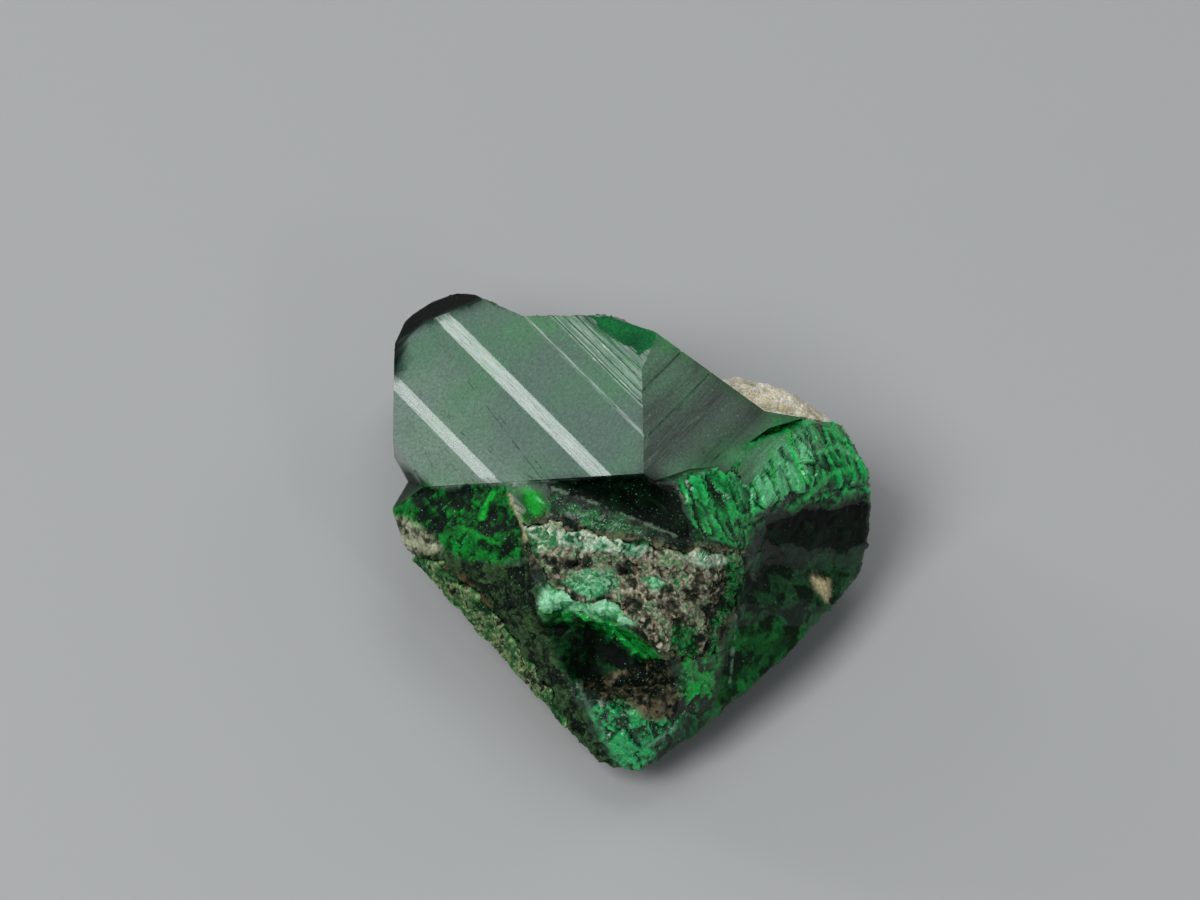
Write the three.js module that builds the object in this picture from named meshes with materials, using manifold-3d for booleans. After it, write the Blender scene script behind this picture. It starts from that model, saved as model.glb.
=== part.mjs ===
// A broken crystal of uvarovite garnet with remnants of its host rock, in millimetres.
// It is described as it faces the viewer: x to the right, z up, y away from the viewer.
// At the end it is laid back on its broken underside, with the origin at bottom centre.
import * as THREE from "three";
import { ConvexHull } from "three/addons/math/ConvexHull.js";
import { mergeVertices } from "three/addons/utils/BufferGeometryUtils.js";
import Module from "manifold-3d";

const wasm = await Module();
wasm.setup();

// Driving dimensions
const layBack = 50;
const undersideDepth = 3.4;
const cellSize = 0.19;
const backCellSize = 0.4;
const crustThickness = 0.3;
const flankThickness = 0.4;
const crustProud = 0.05;
const rockGap = 0.03;
const raggedStep = 0.25;
const raggedPush = 0.22;
const backDepth = 6.3;
const backRoughness = 0.65;
const farAway = 40;

// Half sizes of the lump of rock behind the upper right edge, its turn and its middle
const edgeRockHalf = [1.62, 1.15, 0.66];
const edgeRockTurn = 0.44;
const edgeRockMiddle = [3.2, 1.0, 2.52];

// The four-sided corner where the two grown faces meet, and the slope of a garnet face
const corner = new THREE.Vector3(0.25, -4.2, 1.28);
const faceSlope = Math.SQRT1_2;

const restTurn = new THREE.Matrix4().makeRotationX(THREE.MathUtils.degToRad(-layBack));
const restHeight = undersideDepth * Math.sin(THREE.MathUtils.degToRad(layBack));
const toRest = new THREE.Matrix4().makeTranslation(0, 0, restHeight).multiply(restTurn);
const asResting = new THREE.Matrix4();

const point = (x, y, z) => new THREE.Vector3(x, y, z);

// Depth of the left and right grown faces under a place in the front view
const leftFaceDepth = (x, z) => corner.y + faceSlope * (corner.x - x + z - corner.z);
const rightFaceDepth = (x, z) => corner.y + faceSlope * (x - corner.x + z - corner.z);

// Closed geometry to a solid, turned to how the stone rests unless told otherwise
function solidFrom(geometry, matrix = toRest) {
  const bare = geometry.clone().applyMatrix4(matrix);
  bare.deleteAttribute("normal");
  bare.deleteAttribute("uv");
  const merged = mergeVertices(bare, 1e-5);
  const vertProperties = new Float32Array(merged.attributes.position.array);
  const triVerts = new Uint32Array(merged.index.array);
  return new wasm.Manifold(new wasm.Mesh({ numProp: 3, vertProperties, triVerts }));
}

// Everything on the outer side of a plane
function beyond(place, normal, matrix = toRest) {
  const block = new THREE.BoxGeometry(farAway, farAway, farAway).translate(0, 0, farAway / 2);
  const outward = normal.clone().normalize();
  block.applyQuaternion(new THREE.Quaternion().setFromUnitVectors(point(0, 0, 1), outward));
  block.translate(place.x, place.y, place.z);
  return solidFrom(block, matrix);
}

// Everything outside a rim line from a to b, going round clockwise as seen from the front.
// The rim's face runs back from the viewer and leans in by some degrees.
function outsideRim(a, b, lean) {
  const along = b.clone().sub(a).normalize();
  const back = point(0, 1, 0);
  back.addScaledVector(along, -along.y).normalize();
  const outward = along.clone().cross(back);
  const tilt = THREE.MathUtils.degToRad(lean);
  return beyond(a, outward.multiplyScalar(Math.cos(tilt)).addScaledVector(back, Math.sin(tilt)));
}

// A repeatable random number from 0 to 1 for three whole numbers
function random(i, j, k) {
  let mixed = Math.imul(i, 374761393) + Math.imul(j, 668265263) + Math.imul(k, 1442695041);
  mixed = Math.imul(mixed ^ (mixed >>> 13), 1274126177);
  return ((mixed ^ (mixed >>> 16)) >>> 0) / 2 ** 32;
}

// Smooth noise from -1 to 1 with bumps about one unit wide
function noise(x, z, seed) {
  const i = Math.floor(x);
  const j = Math.floor(z);
  const ease = (t) => t * t * (3 - 2 * t);
  const u = ease(x - i);
  const v = ease(z - j);
  const low = THREE.MathUtils.lerp(random(i, j, seed), random(i + 1, j, seed), u);
  const high = THREE.MathUtils.lerp(random(i, j + 1, seed), random(i + 1, j + 1, seed), u);
  return 2 * THREE.MathUtils.lerp(low, high, v) - 1;
}

// Broken relief: bumps of three widths, the smaller the lower
function brokenness(x, z, seed) {
  const coarse = noise(x / 0.9, z / 0.9, seed);
  const middle = noise(x / 0.42, z / 0.42, seed + 1);
  const fine = noise(x / 0.21, z / 0.21, seed + 2);
  return 0.5 * coarse + 0.35 * middle + 0.25 * fine;
}

// Landmarks of the broken front, region by region: across, up, depth.
// Roughness is how far the relief breaks up between them.
const brokenFront = [
  { region: "glassy hollows at the left", roughness: 0.05, at: [
    [-6.2, 1.0, 0.6], [-4.66, 0.9, -0.55], [-3.42, 0.9, -1.45], [-5.3, 0.4, -0.15],
    [-4.55, 0.45, -1.0], [-3.65, 0.34, -1.75], [-2.97, 0.68, -2.15], [-3.4, -0.34, -2.3],
    [-4.3, -0.34, -1.35], [-5.1, -0.1, -0.5], [-6.2, 0.0, 0.5] ] },
  { region: "emerald chip", roughness: 0.04, at: [
    [-2.62, 0.95, -2.3], [-2.3, 0.56, -3.05], [-2.5, 0.0, -3.0], [-1.96, 0.2, -3.3] ] },
  { region: "groove under the grown faces", roughness: 0.0, at: [
    [-1.96, 1.1, -2.8], [-0.72, 1.16, -2.8], [0.25, 1.25, -3.05], [0.5, 1.1, -3.2],
    [1.1, 0.75, -3.25] ] },
  { region: "ridge under the groove", roughness: 0.03, at: [
    [-1.17, 0.79, -3.2], [-0.72, 0.61, -3.4], [0.29, 0.18, -3.8], [1.08, -0.16, -3.8],
    [1.6, -0.34, -3.6], [2.54, -0.52, -3.0] ] },
  { region: "green splinters right of the groove", roughness: 0.16, at: [
    [1.3, 1.3, -3.35], [1.4, 0.45, -3.35], [2.1, 0.3, -2.95], [2.2, 1.45, -2.75],
    [2.99, 0.68, -2.6], [3.1, 2.1, -1.74], [3.3, 1.3, -1.95], [3.55, 0.9, -2.0],
    [4.0, 2.4, -0.95], [4.23, 1.12, -1.35], [4.9, 2.3, 0.1], [5.13, 1.24, -0.45],
    [6.2, 3.2, 0.6], [6.2, 1.3, 0.5] ] },
  { region: "dark face at the right", roughness: 0.02, at: [
    [3.2, 0.25, -1.9], [4.2, 0.3, -0.9], [5.2, 0.4, 0.0], [6.2, 0.4, 0.9],
    [2.75, -0.25, -2.3], [3.1, -0.68, -1.35], [4.2, -0.68, -0.45], [5.2, -0.68, 0.5],
    [6.2, -0.7, 1.2] ] },
  { region: "low face under it", roughness: 0.03, at: [
    [2.77, -1.35, -1.8], [3.78, -1.46, -0.95], [4.8, -1.6, -0.05], [6.2, -1.9, 1.0] ] },
  { region: "smooth face at the lower right", roughness: 0.0, at: [
    [2.3, -2.0, -2.25], [3.78, -2.1, -1.05], [3.78, -2.6, -0.95], [2.88, -3.2, -1.5],
    [1.98, -3.94, -1.95], [1.98, -2.93, -2.15], [4.6, -4.4, -0.2], [6.2, -3.2, 0.8],
    [2.6, -5.8, -1.1] ] },
  { region: "crusted middle", roughness: 0.17, at: [
    [-2.07, -0.25, -3.25], [-1.17, -0.6, -3.6], [-0.27, -0.4, -3.9], [-0.2, -0.88, -3.5],
    [0.63, -0.6, -3.95], [1.53, -1.1, -3.55], [2.2, -0.9, -2.95], [0.4, -1.55, -4.0],
    [1.55, -2.4, -3.2], [2.0, -1.8, -2.75], [-1.3, -1.05, -3.45], [0.9, -2.0, -3.7] ] },
  { region: "bright lip over the cavity", roughness: 0.1, at: [
    [-1.65, -1.6, -3.7], [-0.8, -1.3, -4.05], [-0.7, -1.85, -4.15], [0.18, -2.2, -4.1],
    [0.7, -2.8, -3.75] ] },
  { region: "cavity", roughness: 0.12, at: [
    [-1.35, -2.1, -2.6], [-0.65, -2.3, -2.3], [0.05, -2.75, -2.25], [0.4, -3.25, -2.4],
    [-0.95, -3.2, -2.2], [-0.3, -3.45, -2.25] ] },
  { region: "rim round the cavity", roughness: 0.12, at: [
    [-2.0, -1.9, -3.2], [-1.65, -2.9, -2.9], [-1.3, -3.7, -2.75], [-0.6, -3.9, -3.2],
    [0.25, -3.9, -3.25], [1.1, -3.55, -3.0] ] },
  { region: "green facets above the tip", roughness: 0.12, at: [
    [-0.3, -4.2, -3.25], [0.45, -4.6, -2.95], [-0.5, -4.8, -2.8], [0.0, -5.5, -2.3],
    [1.1, -4.45, -2.45], [0.6, -6.2, -1.6], [-0.9, -6.2, -1.5] ] },
  { region: "weathered flank", roughness: 0.1, at: [
    [-2.75, -0.9, -2.7], [-2.3, -2.4, -2.3], [-3.2, -1.6, -1.8], [-3.7, -1.0, -1.7],
    [-4.5, -0.7, -1.05], [-3.98, -1.69, -0.75], [-2.97, -2.81, -1.15], [-2.3, -3.6, -1.5],
    [-1.62, -4.16, -1.9], [-1.06, -4.77, -2.2], [-4.7, -1.2, -0.4], [-6.2, -1.4, 0.8],
    [-4.6, -3.4, 0.3], [-2.6, -5.6, -0.8] ] },
];

// Conchoidal hollows, smooth as a shell: across, up, half width, half height, depth
const shellHollows = [
  [-4.1, 0.3, 0.75, 0.5, 0.22], [-3.1, 0.15, 0.6, 0.55, 0.25], [-3.6, -0.4, 0.9, 0.4, 0.2],
  [-0.2, -0.86, 0.22, 0.2, 0.4], [-1.25, -0.75, 0.3, 0.16, 0.3], [3.6, -0.9, 0.9, 0.5, 0.18],
];

// The landmarks joined to triangles: those on the underside of the points' convex hull
// after each is lifted by the square of its distance from the middle
function triangulate(regions) {
  const lifted = regions.flatMap(({ at, roughness }) => at.map(([x, z, depth]) =>
    Object.assign(point(x, z, x * x + z * z), { depth, roughness })));
  const hull = new ConvexHull().setFromPoints(lifted);
  const corners = ({ edge }) => [edge, edge.next, edge.prev].map((side) => side.vertex.point);
  return hull.faces.filter((face) => face.normal.z < 0).map(corners);
}

const reliefTriangles = triangulate(brokenFront);

// Shares of a triangle's three corners at a place in the front view
function shares([a, b, c], x, z) {
  const area = (b.x - a.x) * (c.y - a.y) - (c.x - a.x) * (b.y - a.y);
  const second = ((x - a.x) * (c.y - a.y) - (c.x - a.x) * (z - a.y)) / area;
  const third = ((b.x - a.x) * (z - a.y) - (x - a.x) * (b.y - a.y)) / area;
  return [1 - second - third, second, third];
}

// Depth of the broken front: between the landmarks, then hollowed, then broken up
function brokenDepth(x, z) {
  const inside = (triangle) => Math.min(...shares(triangle, x, z));
  const triangle = reliefTriangles.reduce((best, next) =>
    (inside(next) > inside(best) ? next : best));
  const mix = (key) => shares(triangle, x, z).reduce((sum, share, i) =>
    sum + share * triangle[i][key], 0);
  const hollow = shellHollows.map(([cx, cz, wide, high, deep]) => {
    const away = ((x - cx) / wide) ** 2 + ((z - cz) / high) ** 2;
    return deep * Math.max(0, 1 - away);
  });
  return mix("depth") + Math.max(...hollow) + mix("roughness") * brokenness(x, z, 7);
}

// Upper limit of the broken front: the straight foot of the left face, then the ragged
// foot of the right one
const brokenTop = [
  [-6.2, 0.87], [-4.66, 0.97], [0.25, 1.28], [0.5, 1.12], [1.3, 1.38], [2.2, 1.45],
  [2.6, 1.95], [3.1, 2.3], [3.8, 2.5], [4.8, 2.8], [6.2, 3.3],
];
const brokenBottom = -6;

// Points of a jittered grid over the front view: columns stop at the corners of its upper
// limit, and the outermost points stay where they are. Depth is a function of the place.
function griddedSheet(top, bottom, cell, depth) {
  const columns = top.slice(1).flatMap(([x, z], i) => {
    const [fromX, fromZ] = top[i];
    const steps = Math.ceil((x - fromX) / cell);
    const inner = Array.from({ length: steps }, (_, n) => n / steps);
    return inner.map((t) => [fromX + t * (x - fromX), fromZ + t * (z - fromZ)]);
  });
  columns.push(top[top.length - 1]);
  const rows = Math.round((top[0][1] - bottom) / cell);
  return columns.map(([x, ceiling], i) => Array.from({ length: rows + 1 }, (_, j) => {
    const atRim = i === 0 || i === columns.length - 1 || j === 0 || j === rows;
    const shift = (seed) => (atRim ? 0 : 0.6 * cell * (random(i, j, seed) - 0.5));
    const placeX = x + shift(1);
    const placeZ = bottom + (j / rows) * (ceiling - bottom) + shift(2);
    return [placeX, depth(placeX, placeZ), placeZ];
  }));
}

// Everything in front of the broken surface, set back by some depth
function inFrontOfBreak(setBack) {
  const depth = (x, z) => brokenDepth(x, z) + setBack;
  const back = griddedSheet(brokenTop, brokenBottom, cellSize, depth);
  const front = back.map((column) => column.map(([x, , z]) => [x, -farAway / 4, z]));
  return solidFrom(closedBlock(back, front));
}

// Everything behind the rough break at the rear, as the stone rests
function behindBreak() {
  const depth = (x, z) => backDepth - 0.12 * x - 0.08 * z
    - backRoughness * brokenness(x / 2.2, z / 2.2, 31);
  const front = griddedSheet([[-8, 7], [8, 7]], -1, backCellSize, depth);
  const back = front.map((column) => column.map(([x, , z]) => [x, farAway / 4, z]));
  return solidFrom(closedBlock(back, front), asResting);
}

// Two like grids of points, one behind the other, closed round their rim
function closedBlock(back, front) {
  const [columns, rows] = [back.length, back[0].length];
  const offset = columns * rows;
  const at = (i, j) => i * rows + j;
  const index = [];
  for (let i = 0; i < columns - 1; i += 1) {
    for (let j = 0; j < rows - 1; j += 1) {
      const [a, b, c, d] = [at(i, j), at(i + 1, j), at(i + 1, j + 1), at(i, j + 1)];
      const halves = random(i, j, 3) < 0.5 ? [a, c, b, a, d, c] : [a, d, b, b, d, c];
      index.push(...halves);
      index.push(...halves.map((vertex) => vertex + offset).reverse());
    }
  }
  const rim = [];
  for (let i = 0; i < columns - 1; i += 1) rim.push(at(i, 0));
  for (let j = 0; j < rows - 1; j += 1) rim.push(at(columns - 1, j));
  for (let i = columns - 1; i > 0; i -= 1) rim.push(at(i, rows - 1));
  for (let j = rows - 1; j > 0; j -= 1) rim.push(at(0, j));
  rim.forEach((a, n) => {
    const b = rim[(n + 1) % rim.length];
    index.push(a, b, b + offset, a, b + offset, a + offset);
  });
  const geometry = new THREE.BufferGeometry();
  const positions = [...back, ...front].flat(2);
  geometry.setAttribute("position", new THREE.Float32BufferAttribute(positions, 3));
  geometry.setIndex(index);
  return geometry;
}

// Growth steps on a grown face, in its own plane: where each slope starts and ends across
// the stripes, and how far it rises
const leftSteps = [
  [-2.68, -2.4, 0.04], [-0.88, -0.53, 0.06], [0.6, 0.64, 0.03], [1.06, 1.09, 0.015],
  [1.24, 1.27, 0.015], [1.43, 1.46, 0.015], [1.6, 1.63, 0.015],
];
const rightSteps = [
  [-1.9, -1.86, 0.02], [-0.95, -0.7, 0.03], [0.5, 0.55, 0.02], [1.3, 1.35, 0.02],
];

// Everything in front of a grown face, whose growth steps run along its long diagonal
function inFrontOfFace(normal, stripes, steps) {
  const along = stripes.clone().normalize();
  const outward = normal.clone().normalize();
  const across = outward.clone().cross(along);
  const half = farAway / 2;
  const rise = steps.filter(([start]) => start < 0).reduce((sum, step) => sum + step[2], 0);
  const profile = [[-half, -rise]];
  steps.forEach(([start, end, height]) => {
    const before = profile[profile.length - 1][1];
    profile.push([start, before], [end, before + height]);
  });
  profile.push([half, profile[profile.length - 1][1]], [half, half], [-half, half]);
  const shape = new THREE.Shape(profile.map(([s, h]) => new THREE.Vector2(s, h)));
  const block = new THREE.ExtrudeGeometry(shape, { depth: farAway, bevelEnabled: false });
  block.translate(0, 0, -half);
  block.applyMatrix4(new THREE.Matrix4().makeBasis(across, outward, along));
  block.translate(corner.x, corner.y, corner.z);
  return solidFrom(block);
}

// Corners of the rim, clockwise from the left as seen from the front
const onLeftFace = (x, z) => point(x, leftFaceDepth(x, z), z);
const onRightFace = (x, z) => point(x, rightFaceDepth(x, z), z);
const rim = {
  leftFoot: point(-4.66, -0.8, 0.97),
  leftLow: onLeftFace(-5.43, 2.03),
  leftHigh: point(-5.43, 3.0, 4.2),
  shoulderLow: point(-5.22, 3.2, 4.8),
  shoulderHigh: point(-4.66, 3.2, 5.26),
  peakLeft: point(-4.1, 2.6, 5.42),
  peak: point(-3.6, 1.5, 5.35),
  crestStart: onLeftFace(-2.5, 4.84),
  crestEnd: point(-0.6, -1.2, 4.84),
  rightTop: onRightFace(0.52, 4.46),
  rightBend: onRightFace(3.0, 2.68),
  rightShoulder: point(4.79, 0.1, 2.36),
  rightHigh: point(5.31, -0.2, 1.6),
  right: point(5.52, 0.0, 0.6),
  rightLow: point(5.43, 0.5, -0.34),
  rightFoot: point(5.24, 0.4, -1.05),
  elbow: point(4.68, -0.6, -1.88),
  tipRight: point(0.2, -2.3, -5.38),
  tipLeft: point(-0.45, -2.3, -5.34),
  flankLow: point(-0.82, -2.2, -5.16),
  flankHigh: point(-5.05, -0.3, -0.53),
  leftTip: point(-5.47, -0.1, 0.41),
};

// The grown form: a block cut by the grown faces and by the faces behind its rim
function grownForm() {
  let form = solidFrom(new THREE.BoxGeometry(14, 20, 14).translate(0, 2, 0));
  const cut = (...parts) => {
    form = form.subtract(parts.reduce((sum, part) => sum.intersect(part)));
  };
  cut(inFrontOfFace(point(-0.5, -faceSlope, 0.5), point(0.5, -faceSlope, -0.5), leftSteps));
  cut(inFrontOfFace(point(0.5, -faceSlope, 0.5), point(0.5, faceSlope, 0.5), rightSteps));
  cut(outsideRim(onLeftFace(-5.42, 3.83), onLeftFace(-4.64, 4.75), -14));
  cut(outsideRim(onLeftFace(-4.64, 4.75), onLeftFace(-3.53, 5.2), -12));
  cut(beyond(onLeftFace(-1.0, 4.86), point(-0.21, -0.64, 0.74)));
  cut(outsideRim(rim.leftLow, rim.leftHigh, 0));
  cut(outsideRim(rim.leftHigh, rim.shoulderLow, 4));
  cut(outsideRim(rim.shoulderLow, rim.shoulderHigh, 8));
  cut(outsideRim(rim.shoulderHigh, rim.peakLeft, 4));
  cut(outsideRim(rim.peakLeft, rim.peak, 0));
  cut(outsideRim(rim.peak, rim.crestStart, 0), outsideRim(rim.crestStart, rim.crestEnd, 0));
  cut(outsideRim(rim.crestEnd, rim.rightTop, 0));
  cut(outsideRim(rim.rightTop, rim.rightBend, 3),
    outsideRim(rim.rightBend, rim.rightShoulder, 3));
  cut(outsideRim(rim.rightShoulder, rim.rightHigh, 14));
  cut(outsideRim(rim.rightHigh, rim.right, 16));
  cut(outsideRim(rim.right, rim.rightLow, 18));
  cut(outsideRim(rim.rightLow, rim.rightFoot, 20));
  cut(outsideRim(rim.rightFoot, rim.elbow, 22));
  cut(outsideRim(rim.elbow, rim.tipRight, 24));
  cut(outsideRim(rim.tipRight, rim.tipLeft, 20));
  cut(outsideRim(rim.tipLeft, rim.flankLow, 22));
  cut(outsideRim(rim.flankLow, rim.flankHigh, 20));
  cut(outsideRim(rim.flankHigh, rim.leftTip, 16));
  cut(outsideRim(rim.leftTip, rim.leftFoot, -9), outsideRim(rim.leftFoot, rim.leftLow, -9));
  cut(behindBreak());
  cut(beyond(point(-5.4, 5.2, 0.4), point(-0.75, 0.55, -0.35), asResting));
  cut(beyond(point(4.3, 4.2, 0.3), point(0.72, 0.62, -0.3), asResting));
  cut(beyond(point(0, 0, 0), point(0, 0, -1), asResting));
  return form;
}

// An outline with ragged sides: a point at every step along it, each pushed about
function ragged(outline, seed) {
  return outline.flatMap(([x, z], i) => {
    const [toX, toZ] = outline[(i + 1) % outline.length];
    const steps = Math.ceil(Math.hypot(toX - x, toZ - z) / raggedStep);
    return Array.from({ length: steps }, (_, n) => {
      const [placeX, placeZ] = [x + (n / steps) * (toX - x), z + (n / steps) * (toZ - z)];
      const push = (axis) => raggedPush * (random(i, n, seed + axis) - 0.5);
      return [placeX + push(0), placeZ + push(1)];
    });
  });
}

// A column of any outline in the front view that runs back from the viewer, grown by a gap
function columnOf(outline, gap = 0) {
  const middle = outline.reduce((sum, [x, z]) => [sum[0] + x, sum[1] + z], [0, 0])
    .map((total) => total / outline.length);
  const grown = outline.map(([x, z]) => {
    const away = new THREE.Vector2(x - middle[0], z - middle[1]);
    away.setLength(away.length() + gap);
    return new THREE.Vector2(middle[0] + away.x, middle[1] + away.y);
  });
  const column = new THREE.ExtrudeGeometry(new THREE.Shape(grown),
    { depth: farAway / 2, bevelEnabled: false });
  column.rotateX(Math.PI / 2);
  return solidFrom(column.translate(0, farAway / 4, 0));
}

// Outlines of the host rock left on the front and along the lower left edge
const crustOutline = ragged([
  [-2.34, -0.05], [-1.62, 0.1], [-0.72, -0.24], [0.18, -0.36], [1.3, -0.5], [2.38, -0.6],
  [2.34, -1.5], [2.0, -1.95], [1.85, -2.65], [1.08, -2.8], [0.52, -2.45], [0.25, -2.0],
  [-0.4, -1.55], [-1.4, -1.35], [-2.07, -0.7],
], 61);
const flankOutline = ragged([
  [-5.3, -0.75], [-4.5, -0.7], [-3.65, -1.35], [-2.97, -2.1], [-2.3, -3.0], [-1.7, -3.8],
  [-1.5, -4.4], [-2.4, -4.8], [-5.2, -1.9],
], 71);

// Rock left on the front of the broken surface: as thick as its bed is deep, and a bit proud
function frontCrust() {
  return columnOf(crustOutline).intersect(inFrontOfBreak(crustThickness))
    .subtract(inFrontOfBreak(-crustProud));
}

// Rock left along the lower left edge, flush with the broken surface
function flankRock(form) {
  return form.intersect(columnOf(flankOutline)).intersect(inFrontOfBreak(flankThickness))
    .subtract(inFrontOfBreak(0));
}

// A lump of rock that lies in the corner behind the upper right edge
function edgeRock() {
  const lump = mergeVertices(new THREE.IcosahedronGeometry(1, 5).deleteAttribute("normal")
    .deleteAttribute("uv"), 1e-5);
  const at = lump.attributes.position;
  for (let i = 0; i < at.count; i += 1) {
    const [x, y, z] = [at.getX(i), at.getY(i), at.getZ(i)];
    const swell = 1 + 0.16 * noise(2.5 * x + 9, 2.5 * y + 3 * z, 51) + 0.07 * noise(6 * x, 6 * z, 52);
    at.setXYZ(i, x * swell, y * swell, z * swell);
  }
  lump.scale(...edgeRockHalf).rotateY(edgeRockTurn).translate(...edgeRockMiddle);
  const lift = (place) => place.clone().add(point(rockGap / 2, 0, rockGap));
  const bend = lift(rim.rightBend);
  return solidFrom(lump).intersect(outsideRim(lift(rim.rightTop), bend, 3))
    .intersect(outsideRim(bend, lift(rim.rightShoulder), 3));
}

function meshOf(name, solid, finish) {
  const { vertProperties, triVerts } = solid.getMesh();
  const geometry = new THREE.BufferGeometry();
  geometry.setAttribute("position", new THREE.BufferAttribute(vertProperties, 3));
  geometry.setIndex(new THREE.BufferAttribute(triVerts, 1));
  const mesh = new THREE.Mesh(geometry, new THREE.MeshStandardMaterial(finish));
  mesh.name = name;
  return mesh;
}

const garnetGreen = { color: 0x1d3d24, roughness: 0.18, metalness: 0 };
const speckledRock = { color: 0x8a8468, roughness: 0.9, metalness: 0 };
const creamRock = { color: 0xd6cdae, roughness: 0.85, metalness: 0 };
const oliveRock = { color: 0x6b6a45, roughness: 0.9, metalness: 0 };

// Cutting a ragged surface can leave loose crumbs: only the largest piece is kept
const withoutCrumbs = (solid) => solid.decompose().reduce((largest, next) =>
  (next.volume() > largest.volume() ? next : largest));

const form = grownForm();
const crustBed = columnOf(crustOutline, rockGap)
  .intersect(inFrontOfBreak(crustThickness + rockGap));
const flankBed = columnOf(flankOutline, rockGap)
  .intersect(inFrontOfBreak(flankThickness + rockGap));
const crystal = form.subtract(inFrontOfBreak(0)).subtract(crustBed).subtract(flankBed);

const group = new THREE.Group();
group.add(meshOf("garnet_crystal", withoutCrumbs(crystal), garnetGreen));
group.add(meshOf("host_rock_crust", withoutCrumbs(frontCrust()), speckledRock));
group.add(meshOf("host_rock_edge", withoutCrumbs(edgeRock()), creamRock));
group.add(meshOf("host_rock_flank", withoutCrumbs(flankRock(form)), oliveRock));

const box = new THREE.Box3().setFromObject(group);
group.position.set(-(box.min.x + box.max.x) / 2, -(box.min.y + box.max.y) / 2, 0);

export default group;
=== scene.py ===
# %% [markdown]
# A broken crystal of uvarovite garnet, about 11 mm across, as it lies on its broken back.
# Its flat faces and main lumps come with the frame. This script gives them the fine relief,
# the colours and the gloss of the real stone, a floor, light and a camera.

import math

import bpy
import numpy as np
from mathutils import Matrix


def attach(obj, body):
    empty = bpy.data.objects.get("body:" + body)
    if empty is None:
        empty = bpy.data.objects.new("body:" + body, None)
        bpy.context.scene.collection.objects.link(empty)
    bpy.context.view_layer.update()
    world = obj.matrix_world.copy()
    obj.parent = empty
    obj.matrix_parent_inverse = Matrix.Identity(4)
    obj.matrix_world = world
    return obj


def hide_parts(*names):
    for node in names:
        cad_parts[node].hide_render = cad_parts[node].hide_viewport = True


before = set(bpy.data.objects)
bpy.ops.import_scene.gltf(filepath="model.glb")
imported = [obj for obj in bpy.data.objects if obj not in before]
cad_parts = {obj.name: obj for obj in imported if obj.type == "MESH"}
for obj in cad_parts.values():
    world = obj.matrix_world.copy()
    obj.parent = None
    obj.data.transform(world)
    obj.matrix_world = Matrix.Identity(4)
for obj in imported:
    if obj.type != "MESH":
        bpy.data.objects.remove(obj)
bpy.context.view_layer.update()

# %% [markdown]
# The stone is best described as one looks straight at it: x to the right, z up and y away
# from the viewer, in millimetres. It lies tipped back by 50 degrees, so two small functions
# turn places between this front view and the frame, which is in metres.

# %% Front view and frame
MM = 0.001
LAY_BACK = math.radians(50)
CORNER = np.array([0.25, -4.2, 1.28])
SHIFT = np.array([-0.0199, -0.5512, 2.6046])
TURN = np.array([
    [1.0, 0.0, 0.0],
    [0.0, math.cos(LAY_BACK), math.sin(LAY_BACK)],
    [0.0, -math.sin(LAY_BACK), math.cos(LAY_BACK)],
])


def to_frame(places):
    """Front view in mm to the frame in metres: turned about the x axis, then shifted."""
    return (np.asarray(places, float) @ TURN.T + SHIFT) * MM


def to_front(places):
    """Frame in metres to the front view in mm: the same step backwards."""
    return (np.asarray(places, float) / MM - SHIFT) @ TURN


print("the corner where the two grown faces meet is at", np.round(to_frame(CORNER) / MM, 2))

# %% [markdown]
# The camera stands straight in front of the stone and far off, so that near and far parts
# keep their sizes. At the stone the picture is 27 mm wide.

# %% Camera
PICTURE_WIDTH = 27.0
AIM = np.array([-0.72, -2.0, 1.8])
LENS = 300.0
SENSOR = 36.0
camera_distance = LENS * PICTURE_WIDTH / SENSOR

camera_data = bpy.data.cameras.new("camera")
camera_data.lens = LENS
camera_data.sensor_width = SENSOR
camera_data.clip_start = 0.01
camera = bpy.data.objects.new("camera", camera_data)
camera.location = to_frame(AIM + np.array([0.0, -camera_distance, 0.0]))
camera.rotation_euler = (math.pi / 2 - LAY_BACK, 0.0, 0.0)
bpy.context.scene.collection.objects.link(camera)
bpy.context.scene.camera = camera
print("camera at", np.round(camera.location, 3), "m")

# %% [markdown]
# Broken stone needs noise that is the same on every run. All of it starts from one hash,
# which turns three whole numbers into a random one, for whole arrays at once.

# %% Noise
# Large odd factors that scatter neighbouring whole numbers, and all the low 32 bits
CELL_FACTORS = np.array([374761393, 668265263, 1442695041])
SEED_FACTOR = 974634777
MIXING_FACTOR = 1274126177
LOW_BITS = 0xFFFFFFFF


def hashed(cell, seed):
    """A repeatable number from 0 to 1 for each row of whole numbers."""
    mixed = ((cell * CELL_FACTORS).sum(-1) + seed * SEED_FACTOR) & LOW_BITS
    mixed = ((mixed ^ (mixed >> 13)) * MIXING_FACTOR) & LOW_BITS
    return ((mixed ^ (mixed >> 16)) & LOW_BITS) / 2.0**32


def smooth_noise(places, size, seed):
    """From -1 to 1: random values at the corners of a lattice, eased from corner to corner."""
    scaled = places / size
    cell = np.floor(scaled).astype(np.int64)
    part = scaled - cell
    part = part * part * (3 - 2 * part)
    total = np.zeros(len(places))
    for step in np.ndindex(2, 2, 2):
        share = np.where(np.array(step), part, 1 - part).prod(-1)
        total += share * hashed(cell + np.array(step), seed)
    return 2 * total - 1


def layered_noise(places, size, seed, layers=3):
    """Smooth noise plus the same at half the size and height, and so on."""
    sizes = [size / 2**layer for layer in range(layers)]
    parts = [smooth_noise(places, s, seed + n) / 2**n for n, s in enumerate(sizes)]
    return sum(parts) / sum(0.5**n for n in range(layers))


print("noise at three places:", np.round(smooth_noise(np.eye(3) * 0.4, 1.0, 1), 3))

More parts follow.
